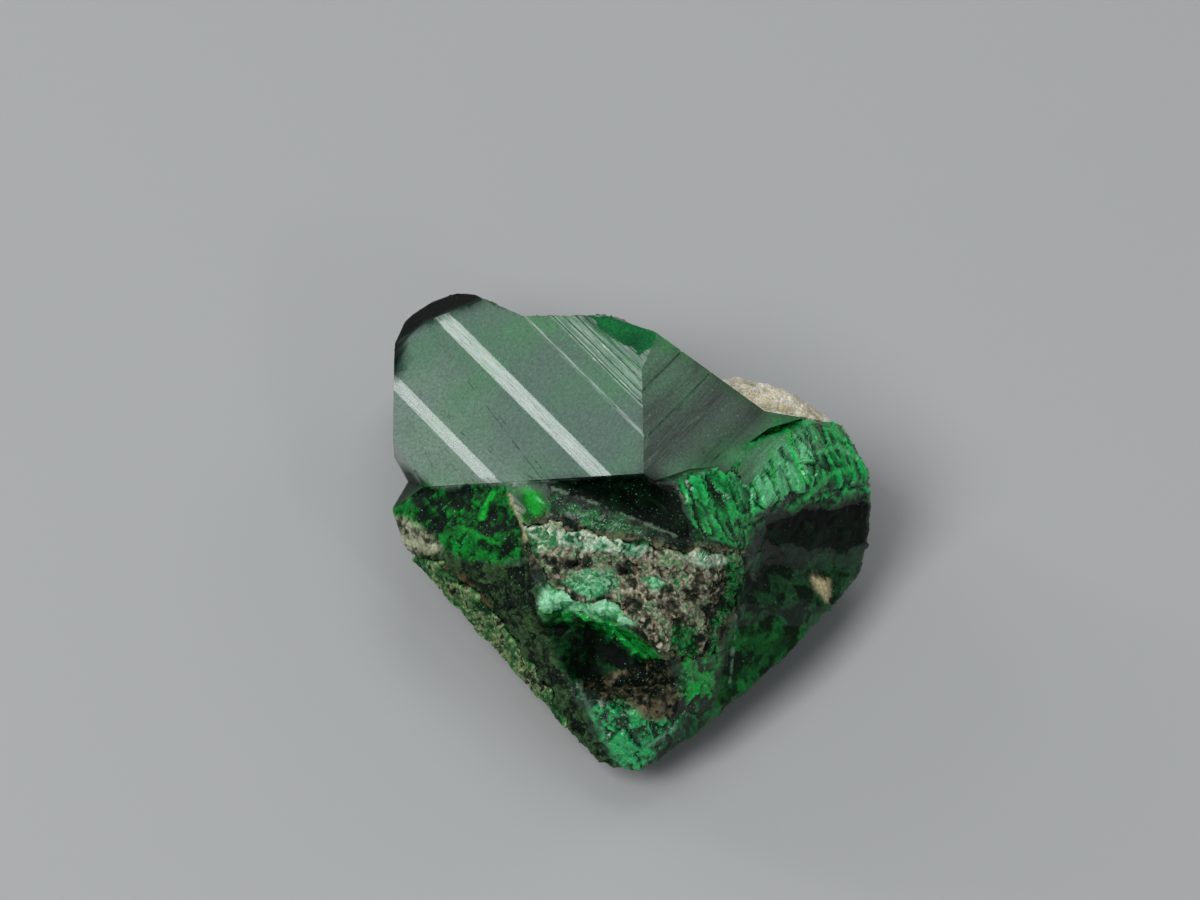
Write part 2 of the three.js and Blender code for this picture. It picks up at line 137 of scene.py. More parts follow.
# %% [markdown]
# Grains and chips are cells: a point is scattered in each cube of space, and every place
# belongs to the nearest point. A chip is such a cell whose height slopes one way.

# %% Grains and chips
# A chip's number from 0 to 1 becomes an angle of up to 50 radians, so that chips with like
# numbers slope different ways
MANY_TURNS = 50.0


def nearest_grain(places, size, seed):
    """Scatters a point in each cube of that size. For each place: the distance to the
    nearest point, that grain's own random number, and the way to it."""
    cell = np.floor(places / size).astype(np.int64)
    nearest = np.full(len(places), np.inf)
    number = np.zeros(len(places))
    way = np.zeros((len(places), 3))
    for step in np.ndindex(3, 3, 3):
        near = cell + np.array(step) - 1
        jitter = np.stack([hashed(near, seed + k) for k in (1, 2, 3)], -1)
        offset = near + jitter - places / size
        far = np.sqrt((offset**2).sum(-1))
        closer = far < nearest
        nearest = np.where(closer, far, nearest)
        number = np.where(closer, hashed(near, seed), number)
        way = np.where(closer[:, None], offset, way)
    return nearest * size, number, way * size


def chip_slopes(places, size, seed):
    """Small flat chips: for each place its chip's own random number, and how far up the
    chip's slope it is, from about -0.5 to 0.5. Each chip slopes its own way."""
    _, number, way = nearest_grain(places, size, seed)
    angle = MANY_TURNS * number
    return number, (np.cos(angle) * way[:, 0] + np.sin(angle) * way[:, 2]) / size


print("to the nearest grain of 1 mm:", np.round(nearest_grain(np.eye(3), 1.0, 1)[0], 3))

# %% [markdown]
# Each solid of the frame is a shell of loose triangles. Where their corners are doubled,
# they are merged, so that neighbours share them and the shell can bend without cracks.

# %% Shells of the solids
def shell_of(node):
    """Corners in front view mm and triangles of a solid, with doubled corners merged."""
    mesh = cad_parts[node].data
    mesh.calc_loop_triangles()
    places = np.zeros(len(mesh.vertices) * 3)
    mesh.vertices.foreach_get("co", places)
    corners = np.zeros(len(mesh.loop_triangles) * 3, np.int32)
    mesh.loop_triangles.foreach_get("vertices", corners)
    places = places.reshape(-1, 3)
    rounded = np.round(places / MM, 4)
    _, first, same = np.unique(rounded, axis=0, return_index=True, return_inverse=True)
    triangles = same.ravel()[corners].reshape(-1, 3)
    ends = [triangles[:, k] != triangles[:, (k + 1) % 3] for k in range(3)]
    return to_front(places[first]), triangles[np.logical_and.reduce(ends)]


def normals_of(places, triangles):
    """Unit normals and areas of triangles."""
    a, b, c = (places[triangles[:, k]] for k in range(3))
    cross = np.cross(b - a, c - a)
    double = np.linalg.norm(cross, axis=1)
    return cross / np.maximum(double, 1e-12)[:, None], double / 2


for node in sorted(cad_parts):
    print(node, len(shell_of(node)[1]), "triangles in the frame")

# %% [markdown]
# Those triangles are few and large. In a finer copy every edge that is too long is split in
# half, again and again. An edge is split for both its triangles alike, so no crack can open.

# %% Finer copies
def split_long_edges(places, triangles, longest, groups):
    """One round: halves every edge longer than its triangles allow, and gives each triangle
    with one, two or three halved edges its two, three or four parts."""
    sides = np.sort(np.stack([triangles, np.roll(triangles, -1, 1)], -1), -1)
    keys, of_side = np.unique(sides[..., 0] * len(places) + sides[..., 1], return_inverse=True)
    of_side = of_side.reshape(-1, 3)
    edges = np.stack([keys // len(places), keys % len(places)], -1)
    length = np.linalg.norm(places[edges[:, 0]] - places[edges[:, 1]], axis=1)
    allowed = np.full(len(edges), np.inf)
    np.minimum.at(allowed, of_side.ravel(), np.repeat(longest, 3))
    halved = length > allowed
    middle = np.full(len(edges), -1)
    middle[halved] = len(places) + np.arange(halved.sum())
    places = np.concatenate([places, places[edges[halved]].mean(1)])
    mids = middle[of_side]
    count = (mids >= 0).sum(1)
    at_halved = np.argmax(mids >= 0, 1)
    after_whole = (np.argmin(mids, 1) + 1) % 3
    turn = np.select([count == 1, count == 2], [at_halved, after_whole], 0)
    order = (np.arange(3) + turn[:, None]) % 3
    a, b, c = np.take_along_axis(triangles, order, 1).T
    ab, bc, ca = np.take_along_axis(mids, order, 1).T
    parts = {
        0: [(a, b, c)],
        1: [(a, ab, c), (ab, b, c)],
        2: [(a, ab, bc), (ab, b, bc), (a, bc, c)],
        3: [(a, ab, ca), (ab, b, bc), (ca, bc, c), (ab, bc, ca)],
    }
    rows = [(n, np.stack(part, -1)[count == n]) for n in parts for part in parts[n]]
    parent = np.concatenate([np.flatnonzero(count == n) for n, _ in rows])
    triangles = np.concatenate([row for _, row in rows])
    return places, triangles, longest[parent], groups[parent], halved.any()


def refined(places, triangles, longest, groups):
    """Splits until no edge is too long."""
    again = True
    while again:
        state = split_long_edges(places, triangles, longest, groups)
        places, triangles, longest, groups, again = state
    return places, triangles, groups


sample = refined(np.eye(3), np.array([[0, 1, 2]]), np.array([0.5]), np.array([0]))[1]
print("a triangle with sides of 1.41 becomes", len(sample), "with none longer than 0.5")

# %% [markdown]
# Two more tools for shells. One finds what is flat, which is to stay flat, and one evens
# numbers out over neighbouring corners, which rounds off what isn't.

# %% Flat faces and evening out
# Normals that are alike to 1/60 and planes that are alike to 1/40 mm are one face
NORMAL_STEPS = 60
DISTANCE_STEPS = 40


def flat_groups(places, triangles, least_area):
    """For each triangle: the number of the flat face that it is part of, or -1 where the
    stone is broken. Triangles in one plane whose areas add up to enough are one face."""
    normals, areas = normals_of(places, triangles)
    offset = (normals * places[triangles[:, 0]]).sum(1)
    keys = np.round(np.column_stack([normals * NORMAL_STEPS, offset * DISTANCE_STEPS]))
    group = np.unique(keys, axis=0, return_inverse=True)[1].ravel()
    return np.where(np.bincount(group, areas)[group] > least_area, group, -1)


def spread(values, triangles, rounds):
    """Evens out numbers over neighbouring corners, some rounds of it."""
    pairs = np.concatenate([triangles[:, [0, 1]], triangles[:, [1, 2]], triangles[:, [2, 0]]])
    ends = np.concatenate([pairs, pairs[:, ::-1]])
    many = np.maximum(np.bincount(ends[:, 0], minlength=len(values)), 1)
    values = np.asarray(values, float)
    columns = values.reshape(len(values), -1)
    for _ in range(rounds):
        sums = [np.bincount(ends[:, 0], column[ends[:, 1]], len(column)) for column in columns.T]
        columns = (columns + np.stack(sums, -1) / many[:, None]) / 2
    return columns.reshape(values.shape)


def corner_normals(places, triangles):
    """Unit normals at the corners: the sum of the normals around, weighted by area."""
    normals, areas = normals_of(places, triangles)
    pushes = np.repeat(normals * areas[:, None], 3, 0)
    total = np.stack([np.bincount(triangles.ravel(), push, len(places)) for push in pushes.T], -1)
    return total / np.maximum(np.linalg.norm(total, axis=1), 1e-12)[:, None]


def standing_out(places, triangles, outward):
    """Height in mm of each corner over the evened-out surface around it."""
    return ((places - spread(places, triangles, 4)) * outward).sum(1)


print("0, 0 and 3 evened out once:", spread(np.array([0, 0, 3]), np.array([[0, 1, 2]]), 1))

# %% [markdown]
# Colours are written as they look on a screen, in hex, and turned to the linear values that
# Blender counts in. A patch of the stone is an outline in the front view with a soft, ragged
# rim, because on the real stone no region ends in a clean line.

# %% Colours and patches
# Width in mm of the bays and tongues of a ragged rim
RIM_TONGUES = 0.5


def linear(hex_colour):
    """Screen value c to linear: c / 12.92 up to 0.04045, then ((c + 0.055) / 1.055) ** 2.4."""
    screen = np.array([int(hex_colour[k:k + 2], 16) for k in (1, 3, 5)]) / 255
    return np.where(screen <= 0.04045, screen / 12.92, ((screen + 0.055) / 1.055) ** 2.4)


def eased(value):
    """0 below 0, 1 above 1, and an S-shaped way between."""
    value = np.clip(value, 0, 1)
    return value * value * (3 - 2 * value)


def off_path(places, path):
    """Distance to the nearest of a path's pieces, in the front view."""
    spot = places[:, [0, 2]]
    path = np.array(path, float)
    distance = np.full(len(spot), np.inf)
    for start, end in zip(path[:-1], path[1:]):
        side = end - start
        part = np.clip((spot - start) @ side / (side @ side), 0, 1)
        distance = np.minimum(distance, np.linalg.norm(spot - start - part[:, None] * side, axis=1))
    return distance


def patch(places, outline, soft=0.1, wobble=0.15, seed=5):
    """1 inside an outline in the front view, 0 outside. It is eased from the distance to the
    nearest side, which counts as negative outside and is pushed about by noise."""
    x, z = places[:, 0], places[:, 2]
    closed = [*outline, outline[0]]
    crossed = np.zeros(len(places), int)
    for (x1, z1), (x2, z2) in zip(closed[:-1], closed[1:]):
        crossed += ((z1 > z) != (z2 > z)) & (x < x1 + (z - z1) * (x2 - x1) / (z2 - z1 + 1e-9))
    nearest = off_path(places, closed)
    depth = np.where(crossed % 2 == 1, nearest, -nearest)
    depth += wobble * layered_noise(places, RIM_TONGUES, seed)
    return eased(0.5 + depth / soft / 2)


print("linear value of the garnet's darkest green:", np.round(linear("#06120a"), 4))

# %% [markdown]
# Regions of the garnet, in the front view. Each has a dark and a bright colour, the share of
# it that is painted glowing bright, a roughness, how high its chips and its fine grain stand in
# millimetres, and how many pinpoints glitter. Splinters are chips drawn out one way. The bright
# colour is painted glow: glassy chips are painted glowing emerald for the light that gets out
# of them again after a short way through the stone, since the material itself lets no light
# through. Thick parts swallow it. A region covers those before it, and soft is how wide its
# rim fades, in millimetres. Broken garnet that is in none of them is described first.

# %% Regions of the garnet
FINISH = ("share", "rough", "chips", "grain", "glitter", "splinters")
BROKEN = dict(
    dark="#051d0f", bright="#0b5429", share=0.42, rough=0.3, chips=0.07, grain=0.015, glitter=0.1)
# Rows leave out the last two columns where the rim is plain and there are no splinters
COLUMNS = ("name", "dark", "bright", "share", "rough", "chips", "grain", "glitter", "outline",
           "soft", "splinters")
ROWS = [
    ("left grown face", "#3e6454", "#2a7844", 0.45, 0.2, 0, 0, 0.2,
     [(0.25, 1.4), (0.16, 3.97), (-1.22, 4.85), (-2.38, 4.91), (-3.42, 5.2), (-4.58, 4.85),
      (-5.3, 4.4), (-5.6, 3.2), (-5.6, 2.0), (-5.08, 1.3), (-4.6, 1.0), (0.2, 1.2)]),
    # A painted reflection: the pale grey veil that this part of the left face mirrors
    ("haze at the lower left of the left face", "#6c8278", "#5c8068", 0.45, 0.2, 0, 0, 0.25,
     [(-5.6, 3.4), (-4.4, 3.2), (-2.9, 1.5), (-2.6, 1.0), (-4.6, 0.95), (-5.6, 1.4)], 1.2),
    ("right grown face", "#425a4a", "#4e7c5c", 0.5, 0.26, 0, 0, 0.3,
     [(0.25, 1.4), (0.16, 3.97), (0.5, 4.5), (1.9, 3.8), (2.3, 3.34), (3.52, 2.46), (3.21, 2.34),
      (3.33, 1.83), (2.89, 1.46), (2.45, 1.52), (1.64, 1.24), (0.88, 1.05), (0.45, 1.15)]),
    ("green deep in the right face", "#2e6a40", "#4cc072", 0.54, 0.3, 0, 0, 0,
     [(1.1, 1.08), (1.74, 1.91), (2.69, 2.27), (3.65, 2.51), (3.17, 1.91), (2.45, 1.08)], 0.6),
    ("upper edge of the right face", "#143a1e", "#2c8a44", 0.5, 0.25, 0, 0, 0.2,
     [(0.4, 4.7), (0.5, 4.2), (1.6, 3.6), (2.3, 2.9), (3.3, 2.3), (3.6, 2.7), (2.4, 3.6),
      (1.4, 4.4)]),
    ("fresh chip at the top", "#02281a", "#0c7a3c", 0.5, 0.2, 0.06, 0.01, 0.15,
     [(-1.13, 4.9), (0.5, 4.7), (0.56, 4.21), (0.16, 3.97), (-0.31, 4.23), (-0.69, 4.56)]),
    ("shadowed top left rim", "#010604", "#03200f", 0.35, 0.85, 0, 0, 0,
     [(-5.7, 3.97), (-5.3, 5.1), (-4.64, 5.7), (-3.35, 5.7), (-3.38, 5.16), (-4.58, 4.8),
      (-5.2, 4.32), (-5.39, 3.34)]),
    # Painted shade: the recess under the grown faces is painted near black
    ("groove under the grown faces", "#010803", "#04260c", 0.35, 0.5, 0.03, 0, 0.22,
     [(-2.13, 1.1), (0.22, 1.25), (0.63, 1.16), (1.07, 1.0), (1.25, 0.45), (1.39, -0.11),
      (2.26, -0.36), (1.01, -0.25), (-1.25, 0.67)]),
    ("splinters right of the groove", "#04200c", "#34c464", 0.52, 0.2, 0.08, 0.01, 0.3,
     [(1.07, 1.08), (2.89, 1.21), (2.89, 0.64), (3.14, 0.45), (2.58, -0.36), (1.39, -0.17),
      (1.26, 0.52)], 0.1, 1),
    ("bright splinters at the right", "#021e0c", "#20c862", 0.52, 0.16, 0.1, 0.008, 0.3,
     [(1.07, 1.21), (2.45, 1.52), (2.89, 1.21), (3.33, 1.83), (3.21, 2.34), (5.2, 2.6), (5.7, 1.77),
      (5.7, 0.65), (3.9, 0.4), (3.02, 0.3), (2.26, 0.64), (1.01, 0.89)], 0.1, 1),
    ("pale shards beside the right face", "#0a3c1c", "#68d28e", 0.52, 0.16, 0.12, 0.008, 0.5,
     [(2.33, 1.32), (3.17, 2.27), (4.0, 2.51), (4.24, 1.8), (3.65, 0.72), (2.93, 0.6),
      (2.45, 0.84)], 0.3, 1),
    # Painted light: the shadowed crevice is painted brighter to lift its shade
    ("crevice under the right face", "#0c4a20", "#28b45c", 0.6, 0.5, 0.05, 0, 0,
     [(2.45, 1.86), (3.17, 2.39), (3.82, 2.53), (4.0, 2.39), (3.29, 2.09), (2.57, 1.74)], 0.1, 1),
    ("shaded rim left of the hollows", "#04140a", "#12401f", 0.4, 0.6, 0.02, 0, 0,
     [(-5.9, 1.7), (-5.05, 1.36), (-4.6, 1.03), (-4.7, 0.9), (-5.9, 0.2)]),
    ("glassy hollows at the left", "#011207", "#068a2c", 0.44, 0.5, 0.06, 0, 0.22,
     [(-5.7, 0.39), (-4.7, 1.05), (-2.76, 0.99), (-2.63, 0.52), (-2.38, 0.01), (-2.32, -0.49),
      (-3.13, -0.83), (-3.82, -0.71), (-4.64, -0.33), (-5.2, 0.04)]),
    ("emerald chip", "#014010", "#05b02c", 0.42, 0.52, 0.14, 0, 0.3,
     [(-2.73, 0.95), (-2.0, 0.97), (-1.85, 0.58), (-2.1, 0.08), (-2.47, 0.14)]),
    ("speckled ridge", "#021006", "#0e7430", 0.42, 0.3, 0.04, 0.03, 0.6,
     [(-1.88, 0.83), (-1.25, 0.65), (-0.25, 0.3), (1.01, -0.27), (2.33, -0.39), (1.89, -0.68),
      (0.69, -0.49), (-0.25, -0.17), (-1.5, 0.23)]),
    ("weathered flank", "#07130a", "#3c5a34", 0.42, 0.6, 0.09, 0.06, 0.25,
     [(-5.2, -0.05), (-3.82, -0.71), (-2.38, -0.8), (-2.07, -1.43), (-1.88, -2.12), (-1.5, -3.25),
      (-0.69, -4.82), (-0.37, -5.32), (-0.87, -5.4), (-2.13, -4.4), (-3.38, -3.0), (-4.9, -1.2)]),
    ("dusty rim round the crust", "#0c1a0e", "#76705a", 0.42, 0.65, 0.03, 0.06, 0.3,
     [(-2.5, 0.2), (-1.5, 0.3), (-0.6, 0.0), (0.5, -0.2), (2.6, -0.4), (2.6, -1.4), (2.2, -2.1),
      (2.0, -2.8), (1.0, -3.0), (0.3, -2.5), (-0.5, -1.7), (-1.7, -1.2), (-2.3, -0.8)]),
    ("mint crusted brow", "#1a9048", "#a4ecbc", 0.56, 0.5, 0.07, 0.05, 0.3,
     [(-2.2, -1.81), (-1.75, -1.2), (-0.56, -1.45), (0.1, -2.1), (-0.5, -2.25), (-1.38, -1.87)]),
    ("bright lip over the cavity", "#034a1a", "#12b040", 0.5, 0.14, 0.08, 0.01, 0.3,
     [(-2.19, -1.74), (-1.25, -1.81), (-0.37, -2.0), (0.13, -2.31), (0.6, -2.85), (0.0, -2.85),
      (-0.56, -2.42), (-1.5, -2.05), (-1.88, -2.12)]),
    # Painted shade: the deep cavity is painted near black
    ("cavity", "#010a03", "#064a1c", 0.3, 0.7, 0.06, 0.02, 0.05,
     [(-1.88, -2.09), (-1.25, -1.97), (-0.56, -2.4), (0.0, -2.8), (0.63, -2.94), (0.57, -3.25),
      (-0.87, -3.5), (-1.56, -3.06)]),
    ("brown lower wall", "#060d06", "#7a7058", 0.42, 0.6, 0.04, 0.06, 0.3,
     [(-1.13, -3.44), (0.76, -2.87), (1.2, -3.56), (0.95, -4.19), (0.26, -4.57), (-0.56, -3.94)]),
    ("facets above the tip", "#02200f", "#24b464", 0.54, 0.18, 0.1, 0.015, 0.55,
     [(-0.97, -3.94), (-0.37, -3.75), (0.38, -4.25), (1.07, -4.19), (0.88, -4.51), (0.38, -5.3),
      (-0.25, -5.5), (-0.62, -4.82)]),
    ("green right of the crust", "#021a0b", "#0fae42", 0.54, 0.2, 0.08, 0.02, 0.35,
     [(1.2, -2.81), (1.89, -2.37), (2.08, -2.94), (1.89, -3.94), (1.39, -4.19), (1.01, -3.44)]),
    ("smooth lower right face", "#081e0c", "#186a2e", 0.46, 0.5, 0, 0, 0.05,
     [(2.26, -1.93), (4.6, -2.06), (3.39, -3.2), (1.7, -4.3), (1.92, -2.94)], 0.3),
    ("dark face at the right", "#010301", "#05220e", 0.4, 0.5, 0.05, 0, 0,
     [(2.89, 0.45), (3.9, 0.64), (5.6, 0.83), (5.6, -0.43), (4.77, -0.8), (2.89, -0.49),
      (2.64, -0.17)], 0.4),
    ("paler face under it", "#05180a", "#1e4a2a", 0.45, 0.5, 0.03, 0.006, 0.1,
     [(2.89, -0.68), (5.4, -0.74), (5.0, -1.56), (4.6, -2.0), (2.26, -1.84), (2.2, -0.99)], 0.4),
    ("pale crust at the left tip", "#2a3022", "#b4b89a", 0.48, 0.7, 0.03, 0.05, 0,
     [(-5.7, 0.4), (-5.1, 0.25), (-4.5, -0.15), (-4.3, -0.45), (-5.0, -0.6), (-5.8, 0.0)]),
    ("beige spot", "#4a4632", "#c0b48c", 0.6, 0.6, 0, 0.03, 0,
     [(4.15, -1.1), (4.5, -1.15), (4.42, -1.6), (4.15, -1.4)]),
]
REGIONS = [dict(zip(COLUMNS, row)) for row in ROWS]
print(len(REGIONS), "regions")

# %% [markdown]
# Single marks: cracks with dust in them, painted highlights on edges that catch the light,
# painted shade, and painted glow along splinters. Each is a line in the front view with a
# colour and a half width.

# %% Marks on the garnet
# How far in mm noise pushes a mark's line about, and the width of its bends
MARK_WOBBLE = 0.05
MARK_BENDS = 0.15
# Name, colour, half width in mm, strength and path
MARKS = [
    # Dust on the ridge, and a painted highlight where its edge catches the light
    ("dusty ridge with a painted highlight under the groove", "#84a482", 0.014, 0.55,
     [(-1.96, 1.0), (-0.72, 0.58), (0.29, 0.16), (1.53, -0.34), (2.5, -0.5)]),
    ("dusty crack beside the emerald chip", "#b0ac84", 0.03, 0.9,
     [(-2.76, 0.8), (-2.69, 0.6), (-2.47, 0.14), (-2.38, -0.2)]),
    # Painted glow, painted shade and a painted highlight in the emerald chip
    ("painted glow in the emerald chip", "#0cac30", 0.13, 0.85, [(-2.3, 0.82), (-2.13, 0.62), (-2.2, 0.4)]),
    ("shade in the emerald chip", "#02380f", 0.1, 0.75,
     [(-2.52, 0.75), (-2.42, 0.4), (-2.2, 0.18)]),
    ("painted highlight on the edge of the emerald chip", "#7cd890", 0.02, 0.8,
     [(-2.08, 0.75), (-2.02, 0.5), (-2.15, 0.25)]),
    ("glint in the left hollow", "#0cb832", 0.05, 0.9,
     [(-3.13, 0.83), (-3.3, 0.55), (-3.38, 0.26)]),
    ("second glint in the left hollow", "#0a9a2c", 0.04, 0.8,
     [(-3.9, 0.1), (-3.5, -0.1), (-3.0, -0.3)]),
    # Painted glow along splinters, and a painted highlight at a splinter's tip
    ("painted glow along the long splinter", "#2ad45e", 0.06, 0.9, [(3.5, 2.25), (3.88, 1.1)]),
    ("painted glow along the short splinter", "#22b850", 0.05, 0.8, [(3.12, 1.9), (3.2, 1.0)]),
    ("painted highlight at a splinter's tip", "#7ae4a0", 0.04, 0.8, [(3.3, 0.98), (2.95, 0.62)]),
    ("painted glow along the slanting splinter", "#1fae4c", 0.05, 0.7, [(2.33, 1.46), (2.89, 0.83)]),
    ("painted glow along the splinter at the shoulder", "#2cc45c", 0.06, 0.7, [(3.9, 0.7), (4.5, 1.25), (5.0, 1.4)]),
    # Painted highlights on the edges of the lip and of the tip
    ("painted highlight on the edge of the lip", "#22da58", 0.05, 0.9, [(-0.55, -2.05), (-0.25, -2.4), (0.1, -2.7)]),
    ("painted highlight on the edge at the tip", "#8cc4a8", 0.03, 0.6, [(0.35, -4.85), (0.95, -4.45), (1.1, -4.4)]),
    # Painted highlights on two thin splinters
    ("painted highlight on the splinter over the shoulder", "#8ce4ac", 0.025, 0.8, [(3.6, 1.95), (3.95, 1.3)]),
    ("painted highlight on the cross splinter", "#74d898", 0.025, 0.7, [(2.6, 1.25), (3.3, 1.5)]),
    ("light on the shoulder", "#58d080", 0.06, 0.6, [(4.2, 1.75), (4.7, 1.9), (5.1, 1.6)]),
    ("pale edge right of the crust", "#8cac94", 0.015, 0.45,
     [(2.33, -1.9), (2.27, -2.8), (2.2, -3.5)]),
    ("brown ridge on the flank", "#66503a", 0.05, 0.8,
     [(-4.55, -0.68), (-3.8, -1.1), (-3.2, -1.75)]),
    ("pale edge beside the cavity", "#6c8c7c", 0.03, 0.45,
     [(-1.25, -3.38), (-0.9, -4.1), (-0.5, -4.82)]),
    ("foot of the left face", "#7c9c84", 0.02, 0.6, [(-4.5, 0.98), (-2.2, 1.1), (-1.9, 1.13)]),
]
print(len(MARKS), "marks")

# %% [markdown]
# The crystal's finer copy. Faces that grew flat, and the one it lies on, stay as they are in
# the frame. Everything broken is evened out a little, so that the frame's large triangles
# don't show.

# %% Fine shell of the garnet
# Longest edges in mm at the front, at the rear, on flat faces and on the fresh chip at the top
FRONT_DETAIL = 0.095
REAR_DETAIL = 0.22
FLAT_DETAIL = 0.5
TOP_CHIP_DETAIL = 0.1
TOP_CHIP_NORMAL = np.array([-0.21, -0.64, 0.74])
# Least area in mm2 of a face that counts as flat
LEAST_FACE = 0.25
# Highest y of a normal that faces the viewer, and cosines between normals that are alike
TOWARDS_VIEWER = -0.03
NEARLY_ALIKE = 0.99
ALIKE = 0.999
# Rounds of evening out at the rim of a flat face and on broken surfaces
RIM_ROUNDS = 3
BREAK_ROUNDS = 5


def is_in(places, name):
    """Whether places are in the region of that name."""
    outline = next(region["outline"] for region in REGIONS if region["name"] == name)
    return patch(places, outline) > 0.5


places, triangles = shell_of("garnet_crystal")
normals = normals_of(places, triangles)[0]
faces_viewer = normals[:, 1] < TOWARDS_VIEWER
underside = normals @ TURN[2] < -ALIKE
splintered = faces_viewer & is_in(places[triangles].mean(1), "bright splinters at the right")
groups = flat_groups(places, triangles, LEAST_FACE)
groups[splintered | ~(faces_viewer | underside)] = -1
longest = np.where(groups >= 0, FLAT_DETAIL, np.where(faces_viewer, FRONT_DETAIL, REAR_DETAIL))
longest[normals @ TOP_CHIP_NORMAL > NEARLY_ALIKE] = TOP_CHIP_DETAIL
places, triangles, groups = refined(places, triangles, longest, groups)

loose = np.bincount(triangles.ravel(), np.repeat(groups >= 0, 3), len(places)) == 0
freedom = np.where(loose, spread(loose.astype(float), triangles, RIM_ROUNDS), 0)
places = places + freedom[:, None] * (spread(places, triangles, BREAK_ROUNDS) - places)
outward = corner_normals(places, triangles)
print(len(triangles), "triangles,", int(loose.sum()), "of", len(places), "corners on broken surfaces")

# %% [markdown]
# Every corner of the shell now learns which regions it is in, and takes its finish from them.

# %% Finish at every corner
# How fast a region fades out where the surface turns away from the viewer
TURNING_AWAY = 4
# Width in mm of a plain rim, how far noise pushes any rim about, and the first rim's seed
PLAIN_RIM = 0.1
RAGGED_RIM = 0.1
FIRST_RIM = 40

viewed = eased(0.5 - outward[:, 1] * TURNING_AWAY)
region_weights = []
for number, region in enumerate(REGIONS):
    soft = region.get("soft", PLAIN_RIM)
    ragged = RAGGED_RIM + soft / 2
    inside = patch(places, region["outline"], soft, ragged, FIRST_RIM + number)
    region_weights.append(viewed * inside)


def over_regions(key):
    """One property at all places: each region covers the one before it, and what isn't seen
    from the front has the value of plain broken garnet. A region without a height has none."""
    own_values = [region.get(key, 0) for region in [BROKEN, *REGIONS]]
    own_values = [linear(v) if isinstance(v, str) else np.array([v]) for v in own_values]
    values = np.tile(own_values[0], (len(places), 1)).astype(float)
    for weight, own_value in zip(region_weights, own_values[1:]):
        values += weight[:, None] * (own_value - values)
    return values.squeeze()


share, rough, chips, grain, glitter, splinters = (over_regions(key) for key in FINISH)
print("mean roughness:", round(rough.mean(), 2), "highest chips:", round(chips.max(), 2), "mm")

# %% [markdown]
# Relief: the broken surface is raised or sunk along its normals by chips of two sizes and by
# fine grain. For splinters, places are squeezed along one way before the chips are laid out,
# so the chips come out long.

# %% Relief of the garnet
# Sizes in mm, the way that splinters run, and how much of that way is squeezed out
LARGE_CHIP = 0.45
SMALL_CHIP = 0.2
FINE_GRAIN = 0.11
SPLINTER_WAY = np.array([-0.37, 0.0, 0.93])
DRAWN_OUT = 0.72
# Shares of a region's chip height: how much chips differ in level, and how much each slopes
LARGE_LEVEL = 0.5
LARGE_TILT = 0.75
SMALL_LEVEL = 0.2
SMALL_TILT = 0.4

along = (places @ SPLINTER_WAY)[:, None] * SPLINTER_WAY
drawn = places - DRAWN_OUT * splinters[:, None] * along
large_chip, large_slope = chip_slopes(drawn, LARGE_CHIP, 11)
small_chip, small_slope = chip_slopes(drawn, SMALL_CHIP, 13)
relief = chips * (LARGE_LEVEL * (large_chip - 0.5) + LARGE_TILT * large_slope)
relief += chips * (SMALL_LEVEL * (small_chip - 0.5) + SMALL_TILT * small_slope)
bump = 0.6 - nearest_grain(places, FINE_GRAIN, 17)[0] / FINE_GRAIN
relief += grain * (bump + 0.5 * layered_noise(places, 0.3, 19))
places = places + (freedom * relief)[:, None] * outward
print("relief from", round(relief[loose].min(), 3), "to", round(relief[loose].max(), 3), "mm")

# %% [markdown]
# The paint, which is painted glow: on broken surfaces a chip is painted brighter the further
# up its slope, and thin raised edges brightest, for the light that leaves them from both
# sides. On grown faces the change is cloudy, because there one looks into the stone through a
# flat window.

# %% Colour of the garnet
# Height in mm over what is around it from which an edge glows fully
THIN_EDGE = 0.025
# How much of the glow each cause gives
LARGE_CHIP_GLOW = 0.4
SMALL_CHIP_GLOW = 0.25
SLOPE_GLOW = 0.12
PLAIN_GLOW = 0.175
EDGE_GLOW = 0.22
UNEVEN_GLOW = 0.15
# How wide the change from dark to bright is, and how strongly it favours the dark
GLOW_CHANGE = 0.5
GLOW_CONTRAST = 1.3

raised = np.clip(standing_out(places, triangles, outward) / THIN_EDGE, -1, 1)
broken_glow = LARGE_CHIP_GLOW * large_chip + SMALL_CHIP_GLOW * small_chip
broken_glow += SLOPE_GLOW * (large_slope + small_slope) + PLAIN_GLOW
broken_glow += EDGE_GLOW * raised + UNEVEN_GLOW * layered_noise(places, 0.18, 23)
cloud_glow = 0.5 + 0.5 * layered_noise(places, 1.2, 29, 5)
glow = np.where(loose, broken_glow, cloud_glow)
glow = eased((glow - (1 - share)) / GLOW_CHANGE + 0.5)[:, None] ** GLOW_CONTRAST
tint = over_regions("dark") * (1 - glow) + over_regions("bright") * glow
print("mean colour of the bare stone:", np.round(tint.mean(0), 3))

# %% [markdown]
# Rock dust lies round the cream white rock at the upper right edge, more of it the nearer,
# and makes the stone dull there. The single marks come last.

# %% Dust and marks
DUST = "#b8b08e"
DUST_MIDDLE = np.array([3.4, 1.0, 2.4])
DUST_RADII = np.array([1.5, 1.15, 0.9])
# Where the dust ends and how softly, both in those radii, how thick it is, and its roughness
DUST_END = 1.5
DUST_FADE = 0.5
DUST_COVER = 0.8
DUSTY_ROUGH = 0.7

